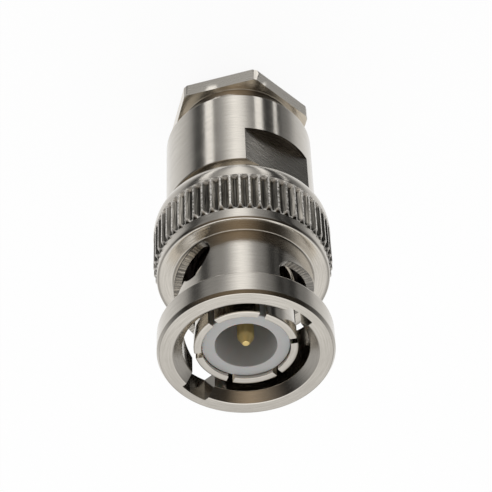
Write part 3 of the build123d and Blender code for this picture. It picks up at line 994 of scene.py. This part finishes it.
class PLUG_OT_coupling_ring(bpy.types.Operator):
    """Turn the coupling ring, knurl its grip and mill its cam slots"""

    bl_idname = "plug.coupling_ring"
    bl_label = "Coupling ring"

    def profile(self, ring):
        """The ring's section, with the band for the grip turned to the tip radius."""
        top, low = MATING_FACE, RING_LOW.z
        shoulder = top - ring.shoulder_depth
        grip_front = shoulder - ring.band_length
        grip_rear = grip_front - ring.grip_length
        edge, wide_edge, band_edge = 0.05 * MM, 0.12 * MM, 0.3 * MM
        made = rounded(
            [
                (ring.lip_radius, low),
                (ring.lip_radius, low + ring.lip_length),
                (ring.bore_radius, low + ring.lip_length),
                (ring.bore_radius, top - ring.mouth),
                (ring.bore_radius + ring.mouth, top),
                (ring.front_radius - ring.face_edge * 0.8, top),
                (ring.front_radius, top - ring.face_edge * 1.2),
                (ring.front_radius, top - ring.front_depth),
                (ring.tube_radius, top - ring.front_depth),
                (ring.tube_radius, shoulder),
                (ring.band_radius, shoulder),
                (ring.band_radius, grip_front),
            ],
            [edge, edge, 0, edge, edge, edge, edge, wide_edge, edge, wide_edge, band_edge, 0],
        )
        rows, rim_steps = 12, 12
        grip = [grip_front - ring.grip_length * (step + 0.02) / rows for step in range(rows)]
        grip.insert(1, grip_front - 0.3 * MM)
        grip.append(grip_rear + 2 * HAIR)
        made += [Vector((ring.tip_radius, height)) for height in grip]
        made.append(Vector((ring.rim_radius, grip_rear - HAIR)))
        wide = ring.rim_radius - ring.rear_radius
        tall = grip_rear - ring.rim_flat - low
        for step in range(rim_steps + 1):
            sweep = pi / 2 * step / rim_steps
            made.append(
                Vector((ring.rear_radius + wide * cos(sweep), low + tall * (1 - sin(sweep))))
            )
        made.append(Vector((ring.rear_radius - edge, low)))
        return made

    def angles(self, ring):
        """Turns at which the section is set, closer together on the teeth."""
        pitch = 2 * pi / ring.teeth
        half_crest = ring.crest_width / 2 / ring.root_radius
        half_base = ring.base_width / 2 / ring.root_radius
        flank = half_base - half_crest
        offsets = [-half_crest, half_crest]
        offsets += [half_crest + flank * part for part in (0.33, 0.67, 1.0)]
        offsets += [pitch - half_base]
        offsets += [pitch - half_crest - flank * part for part in (0.67, 0.33)]
        return [
            ring.first_tooth + tooth * pitch + offset
            for tooth in range(ring.teeth)
            for offset in offsets
        ]

    def cam_cutter(self, ring, slot):
        """Both cam slots, flared by a bevel inside and outside the tube."""
        flare = slot.edge + HAIR
        levels = (
            (ring.bore_radius - 0.5 * MM, flare),
            (ring.bore_radius - HAIR, flare),
            (ring.bore_radius + slot.edge, 0.0),
            (ring.tube_radius - slot.edge, 0.0),
            (ring.tube_radius + HAIR, flare),
            (ring.tube_radius + 0.2 * MM, flare),
        )
        outline = slot_outline(slot, ring)
        shallowest, deepest = ring.front_depth - 2 * HAIR, ring.shoulder_depth - 2 * HAIR
        loops = []
        for radius, spread in levels:
            loop = []
            for place in grown(outline, spread):
                depth = min(place.y, deepest)
                if place.y < ring.front_depth + HAIR:
                    depth = shallowest
                back = place.x / ring.tube_radius
                away, aside = radius * cos(back), -radius * sin(back)
                loop.append(Vector((away, aside, MATING_FACE - depth)))
            loops.append(loop)
        cutter = slab("cam_cutter", loops, finish("slot_wall_nickel"))
        set_around(cutter, 2, ring.entry_angle)
        return cutter

    def entry_cutter(self, ring):
        """Both entries through the front ring, with a rounded outer wall."""
        half = ring.entry_width / 2
        reach = ring.entry_radius
        arc_steps = 8
        sweeps = [half / reach * (2 * step / arc_steps - 1) for step in range(arc_steps + 1)]
        arc = [(reach * cos(sweep), reach * sin(sweep)) for sweep in sweeps]
        inside = ring.bore_radius * 0.7
        outline = [(inside, -half)] + arc + [(inside, half)]
        levels = (MATING_FACE - ring.front_depth - 0.3 * MM, MATING_FACE + 0.5 * MM)
        loops = [[Vector((x, y, level)) for x, y in outline] for level in levels]
        cutter = slab("entry_cutter", loops, finish("entry_nickel"))
        set_around(cutter, 2, ring.entry_angle)
        return cutter

    def execute(self, context):
        ring, slot = context.scene.plug_ring, context.scene.plug_slot
        grip_front = MATING_FACE - ring.shoulder_depth - ring.band_length
        piece = lathe(
            "coupling_ring_turned", self.profile(ring), self.angles(ring), finish("turned_nickel")
        )
        values = tooth_sizes(ring) | {
            "Teeth": ring.teeth,
            "Front": grip_front + TINY,
            "Rear": grip_front - ring.grip_length - TINY,
            "Grip material": finish("knurled_nickel"),
        }
        run_tree(piece, knurl_tree(), finish("turned_nickel"), values)
        finish_mesh(piece.data)
        cut(piece, self.cam_cutter(ring, slot), self.entry_cutter(ring))
        dress(piece, "coupling_ring", "coupling")
        return {"FINISHED"}


class PLUG_OT_outer_contact(bpy.types.Operator):
    """Turn the outer contact and slot it into spring fingers"""

    bl_idname = "plug.outer_contact"
    bl_label = "Outer contact"

    def execute(self, context):
        contact = context.scene.plug_contact
        top, low = CONTACT_HIGH.z, CONTACT_LOW.z
        collar = top - contact.collar_depth
        flange = top - contact.flange_setback
        flange_radius = CONTACT_HIGH.x
        edge = 0.04 * MM
        profile = [
            (contact.neck_bore, low),
            (contact.neck_bore, top - contact.bore_depth),
            (contact.bore_radius, top - contact.bore_depth),
            (contact.bore_radius, top),
            (contact.radius, top),
            (contact.radius, top - contact.tip_band),
            (contact.relief_radius, top - contact.tip_band - contact.tip_edge),
            (contact.relief_radius, collar),
            (contact.radius, collar),
            (contact.radius, flange),
            (flange_radius, flange),
            (flange_radius, flange - contact.flange_length),
            (contact.neck_radius, flange - contact.flange_length),
            (contact.neck_radius, low),
        ]
        edges = [0, 0, 0, edge, contact.tip_edge, edge, edge, 0, edge, 0, edge, edge, 0, edge]
        piece = turned("outer_contact_turned", profile, edges, 360, "polished_nickel")
        half = contact.slot_width / 2
        bevel = 0.04 * MM
        slot_floor = collar - 2 * HAIR
        inner, outer = contact.bore_radius, contact.radius
        reach = 0.4 * MM
        sides = (
            (inner - reach, reach),
            (inner + bevel, 0.0),
            (outer - bevel * 1.5, 0.0),
            (outer + reach, reach),
        )
        sides = [(radius, half + spread) for radius, spread in sides]
        loops = block_loops(sides, slot_floor, top + 1 * MM)
        cutter = slab("finger_cutter", loops, finish("polished_nickel"))
        set_around(cutter, contact.slots, contact.first_slot)
        cut(piece, cutter)
        dress(piece, "outer_contact", PLUG_BODY)
        return {"FINISHED"}


class PLUG_OT_rear_body(bpy.types.Operator):
    """Turn the rear body and mill its wrench flats"""

    bl_idname = "plug.rear_body"
    bl_label = "Rear body"

    def execute(self, context):
        body = context.scene.plug_body
        top, low = BODY_HIGH.z, BODY_LOW.z
        front = top - body.hub_length
        edge = 0.05 * MM
        profile = [
            (body.front_bore, top),
            (body.hub_radius, top),
            (body.hub_radius, front),
            (body.radius, front),
            (body.radius, low),
            (body.nut_bore, low),
            (body.nut_bore, low + body.nut_bore_length),
            (body.clamp_bore, low + body.nut_bore_length),
            (body.clamp_bore, top - body.seat),
            (body.front_bore, top - body.seat),
        ]
        edges = [edge, edge, 0, edge * 1.6, edge * 1.6, edge * 2, 0, edge, 0, 0]
        piece = turned("rear_body_turned", profile, edges, 360, "turned_nickel")
        bevel = 0.03 * MM
        shoulder = front - body.flat_length
        near, far = body.flat_half_width, body.radius + 1 * MM
        side = body.radius
        sides = [(away, side) for away in (near, body.radius - 2 * HAIR, far)]
        loops = block_loops(sides, shoulder, front + bevel)
        cutter = slab("flat_cutter", loops, finish("milled_nickel"))
        set_around(cutter, 2, body.flat_angle)
        # The flats' shoulder faces take the dark brown nickel, which is painted shade
        cutter.data.materials.append(finish("flat_shoulder_nickel"))
        for face in cutter.data.polygons:
            if face.center.z < shoulder + bevel:
                face.material_index = 1
        cut(piece, cutter)
        dress(piece, "rear_body", PLUG_BODY)
        return {"FINISHED"}


class PLUG_OT_clamp_nut(bpy.types.Operator):
    """Make the clamp nut with its hexagon, plain neck and thread"""

    bl_idname = "plug.clamp_nut"
    bl_label = "Clamp nut"

    def execute(self, context):
        nut = context.scene.plug_nut
        low, high = NUT_LOW.z, NUT_HIGH.z
        hex_front = low + nut.thickness
        edge = 0.05 * MM
        thread_low = hex_front + nut.neck_length
        rows = 56
        profile = [
            (nut.bore_radius, high),
            (nut.bore_radius, low),
            (nut.corner_radius, low),
            (nut.corner_radius, hex_front),
            (nut.neck_radius, hex_front),
            (nut.neck_radius, thread_low),
        ]
        profile = rounded(profile, [edge, edge * 2, edge, edge, edge * 2, 0])
        profile += [
            Vector((nut.neck_radius, thread_low + (high - thread_low) * step / rows))
            for step in range(1, rows)
        ]
        profile.append(Vector((nut.neck_radius - nut.thread_depth, high)))
        piece = lathe("clamp_nut_turned", profile, even_turn(240), finish("turned_nickel"))
        values = {
            "Crest radius": nut.neck_radius,
            "Bore radius": nut.bore_radius,
            "Pitch": nut.pitch,
            "Depth": nut.thread_depth,
            "Low": thread_low,
            "High": high - TINY,
        }
        run_tree(piece, thread_tree(), finish("turned_nickel"), values)
        bevel = 0.06 * MM
        near, far = nut.across_flats / 2, nut.corner_radius + 1 * MM
        side = nut.corner_radius * 0.8
        loops = block_loops([(near, side), (far, side)], low - 1 * MM, hex_front + bevel)
        cutter = slab("hexagon_cutter", loops, finish("hexagon_nickel"))
        set_around(cutter, 6, nut.corner_angle + pi / 6)
        cut(piece, cutter)
        dress(piece, "clamp_nut", "nut")
        return {"FINISHED"}


class PLUG_OT_insulator_and_pin(bpy.types.Operator):
    """Turn the white insulator, the gilt pin and the front gasket"""

    bl_idname = "plug.insulator_and_pin"
    bl_label = "Insulator and pin"

    def execute(self, context):
        edge = 0.08 * MM
        top, low, outer = INSULATOR_HIGH.z, INSULATOR_LOW.z, INSULATOR_HIGH.x
        cavity, floor_depth, shaft = 2.415 * MM, 5.2 * MM, 0.68 * MM
        profile = [
            (shaft, low),
            (outer, low),
            (outer, top),
            (cavity, top),
            (cavity, top - floor_depth),
            (shaft, top - floor_depth),
        ]
        edges = [0, edge, edge, edge * 0.8, edge, 0]
        insulator = turned("front_insulator_turned", profile, edges, 160, "white_insulator")
        dress(insulator, "front_insulator", PLUG_BODY)

        top, low, body_radius = PIN_HIGH.z, PIN_LOW.z, PIN_HIGH.x
        pin_radius, tip_radius, taper = 0.67 * MM, 0.28 * MM, 0.65 * MM
        body_top = MATING_FACE - 12.9 * MM
        cup_radius, cup_depth = 0.6 * MM, 1.8 * MM
        profile = [
            (0.0, low + cup_depth),
            (cup_radius, low + cup_depth),
            (cup_radius, low),
            (body_radius, low),
            (body_radius, body_top),
            (pin_radius, body_top),
            (pin_radius, top - taper),
            (tip_radius, top),
            (0.0, top),
        ]
        edges = [0, 0, edge / 2, edge / 2, edge / 2, 0, edge * 2, edge, 0]
        pin = turned("centre_contact_turned", profile, edges, 96, "gilt", closed=False)
        dress(pin, "centre_contact", PLUG_BODY)

        top, low, outer = GASKET_HIGH.z, GASKET_LOW.z, GASKET_HIGH.x
        inner = 4.07 * MM
        profile = [(inner, low), (outer, low), (outer, top), (inner, top)]
        edges = [edge, edge, edge * 2, edge * 2]
        gasket = turned("front_gasket_moulded", profile, edges, 160, "dark_silicone")
        dress(gasket, "front_gasket", PLUG_BODY)
        return {"FINISHED"}


class PLUG_OT_inner_pieces(bpy.types.Operator):
    """Give the pieces inside their finishes"""

    bl_idname = "plug.inner_pieces"
    bl_label = "Inner pieces"

    finishes = {
        "washer_nickel": ("flange_washer", "lip_washer", "clamp_washer", "braid_clamp"),
        "spring_strip": ("front_wave_spring", "rear_wave_spring"),
        "white_insulator": ("rear_insulator",),
        "dark_silicone": ("cable_gasket",),
    }

    def execute(self, context):
        for name, nodes in self.finishes.items():
            for node in nodes:
                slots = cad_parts[node].data.materials
                slots.clear()
                slots.append(finish(name))
        springs = self.finishes["spring_strip"]
        for spring in springs:
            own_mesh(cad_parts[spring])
        return {"FINISHED"}


class PLUG_OT_stage(bpy.types.Operator):
    """Set up the floor, the light and the camera"""

    bl_idname = "plug.stage"
    bl_label = "Stage"

    def near_cards(self, context):
        """Lays the white cards that only the metal mirrors, as fans away from the body."""
        radius, reach = context.scene.plug_body.radius, context.scene.plug_stage.card_length
        material = bpy.data.materials.new("white_card")
        material.use_nodes = True
        shader = material.node_tree.nodes["Principled BSDF"]
        shader.inputs["Base Color"].default_value = (0.0, 0.0, 0.0, 1.0)
        shader.inputs["Emission Color"].default_value = (1.0, 1.0, 1.0, 1.0)
        shader.inputs["Emission Strength"].default_value = 1.0
        for index, card in enumerate(NEAR_CARDS):
            corners = []
            for degrees, far in ((card[0], 0), (card[1], 0), (card[1], reach), (card[0], reach)):
                angle = radians(degrees)
                corners.append(
                    (
                        -radius * sin(angle) - far * sin(2 * angle),
                        -radius * cos(angle) - far * cos(2 * angle),
                        2 * HAIR,
                    )
                )
            made = new_piece("white_card_%d" % index, corners, [(0, 1, 2, 3)], material)
            made.visible_camera = False
            made.visible_diffuse = False
            made.visible_shadow = False
            made.visible_transmission = False

    def floor(self, stage):
        """Lays the pale floor, which the camera sees as nearly plain white."""
        material = bpy.data.materials.new("pale_floor")
        material.use_nodes = True
        tree = material.node_tree
        shader = tree.nodes["Principled BSDF"]
        shader.inputs["Base Color"].default_value = tuple(stage.floor)
        shader.inputs["Roughness"].default_value = 0.9
        shader.inputs["Specular IOR Level"].default_value = 0.0
        half = stage.floor_size / 2
        signs = ((-1, -1), (1, -1), (1, 1), (-1, 1))
        corners = [(half * right, half * back, -stage.floor_drop) for right, back in signs]
        made = new_piece("floor", corners, [(0, 1, 2, 3)], material)
        whiten = tree.nodes.new("ShaderNodeEmission")
        blend = tree.nodes.new("ShaderNodeMixShader")
        camera_ray = tree.nodes.new("ShaderNodeLightPath").outputs["Is Camera Ray"]
        tree.links.new(calc(tree, "MULTIPLY", camera_ray, stage.whitening), blend.inputs[0])
        tree.links.new(shader.outputs[0], blend.inputs[1])
        tree.links.new(whiten.outputs[0], blend.inputs[2])
        tree.links.new(blend.outputs[0], tree.nodes["Material Output"].inputs[0])
        made.visible_glossy = False

    def studio(self, tree, x, y, z, overhead):
        """What metal mirrors: dark and light zones by direction, a warm front, a white top.

        The heights z run from -1, straight down, to 1, straight up.
        """
        to_left, to_front = (calc(tree, "MULTIPLY", part, -1.0) for part in (x, y))
        around = calc(tree, "ARCTAN2", to_left, to_front)
        around = calc(tree, "MULTIPLY_ADD", around, 0.5 / pi, 0.5)
        rise = ramp(tree, z, -0.45, 0.15, 0.0, 1.0)
        lift = ramp(tree, z, 0.62, 0.74, 0.62, 1.22)
        warm_front = ramp(tree, y, -0.7, -0.1, 1.0, 0.0)
        tint = mixed_colour(tree, warm_front, (1.0, 1.0, 1.0, 1.0), (1.12, 0.88, 0.62, 1.0))
        high = sweep_ramp(tree, around, HIGH_STUDIO)
        high = put(tree, "ShaderNodeVectorMath", high, tint, operation="MULTIPLY")
        high = scaled(tree, high, lift)
        mirrored = mixed_colour(tree, rise, sweep_ramp(tree, around, LOW_STUDIO), high)
        return mixed_colour(tree, overhead, mirrored, (1.2, 1.2, 1.2, 1.0))

    def light(self, scene, stage):
        """Sets the world: the studio for mirror rays, soft light for all others."""
        world = bpy.data.worlds.new("studio")
        scene.world = world
        world.use_nodes = True
        world.cycles.sampling_method = "NONE"
        tree = world.node_tree
        x, y, z = split_up(tree, put(tree, "ShaderNodeTexCoord"))
        overhead = ramp(tree, z, 0.86, 0.95, 0.0, 1.0)
        mirrored = self.studio(tree, x, y, z, overhead)
        path = tree.nodes.new("ShaderNodeLightPath").outputs
        glossy = calc(tree, "MAXIMUM", path["Is Glossy Ray"], path["Is Transmission Ray"])
        from_back = calc(tree, "MULTIPLY_ADD", y, stage.back_light, 1.0)
        from_back = calc(tree, "MULTIPLY_ADD", overhead, 0.4, from_back)
        from_back = calc(tree, "MULTIPLY", from_back, stage.soft_light)
        seen = mixed_colour(tree, glossy, from_back, mirrored)
        seen = mixed_colour(tree, path["Is Camera Ray"], seen, (1.0, 1.0, 1.0, 1.0))
        tree.links.new(seen, tree.nodes["Background"].inputs[0])

    def camera(self, scene, stage):
        """Sets the camera, which looks at the mating face from above."""
        camera = bpy.data.objects.new("camera", bpy.data.cameras.new("camera"))
        scene.collection.objects.link(camera)
        camera.data.lens = stage.lens
        camera.data.sensor_width = 36.0
        camera.data.clip_start = 5 * MM
        right = Vector((-0.99961, 0.0, 0.0278))
        up = Vector((-0.01919, -0.72370, -0.68985))
        back = right.cross(up).normalized()
        up = back.cross(right)
        place = Vector((2.75, -104.92, 97.85)) * MM + Vector((0, 0, MATING_FACE))
        turned_to = Matrix((right, up, back)).transposed().to_4x4()
        camera.matrix_world = Matrix.Translation(place) @ turned_to
        scene.camera = camera

    def execute(self, context):
        scene = context.scene
        stage = scene.plug_stage
        self.floor(stage)
        self.light(scene, stage)
        self.near_cards(context)
        self.camera(scene, stage)
        scene.view_settings.view_transform = "Standard"
        return {"FINISHED"}


class PLUG_PT_panel(bpy.types.Panel):
    """Lists the steps in the sidebar of the 3D view"""

    bl_label = "Coaxial plug"
    bl_idname = "PLUG_PT_panel"
    bl_space_type = "VIEW_3D"
    bl_region_type = "UI"
    bl_category = "Coaxial plug"

    def draw(self, context):
        for operator in STEPS:
            self.layout.operator(operator.bl_idname)


GROUPS = {
    "plug_ring": PLUG_PG_ring,
    "plug_slot": PLUG_PG_slot,
    "plug_contact": PLUG_PG_contact,
    "plug_body": PLUG_PG_body,
    "plug_nut": PLUG_PG_nut,
    "plug_finish": PLUG_PG_finish,
    "plug_stage": PLUG_PG_stage,
}
STEPS = (
    PLUG_OT_stage,
    PLUG_OT_finishes,
    PLUG_OT_coupling_ring,
    PLUG_OT_outer_contact,
    PLUG_OT_rear_body,
    PLUG_OT_clamp_nut,
    PLUG_OT_insulator_and_pin,
    PLUG_OT_inner_pieces,
)


def register():
    for group in GROUPS.values():
        bpy.utils.register_class(group)
    for name, group in GROUPS.items():
        setattr(bpy.types.Scene, name, PointerProperty(type=group))
    for operator in STEPS:
        bpy.utils.register_class(operator)
    bpy.utils.register_class(PLUG_PT_panel)


def unregister():
    bpy.utils.unregister_class(PLUG_PT_panel)
    for operator in reversed(STEPS):
        bpy.utils.unregister_class(operator)
    for name, group in GROUPS.items():
        delattr(bpy.types.Scene, name)
        bpy.utils.unregister_class(group)


def main():
    register()
    for operator in STEPS:
        module, name = operator.bl_idname.split(".")
        getattr(getattr(bpy.ops, module), name)()


if __name__ == "__main__":
    main()
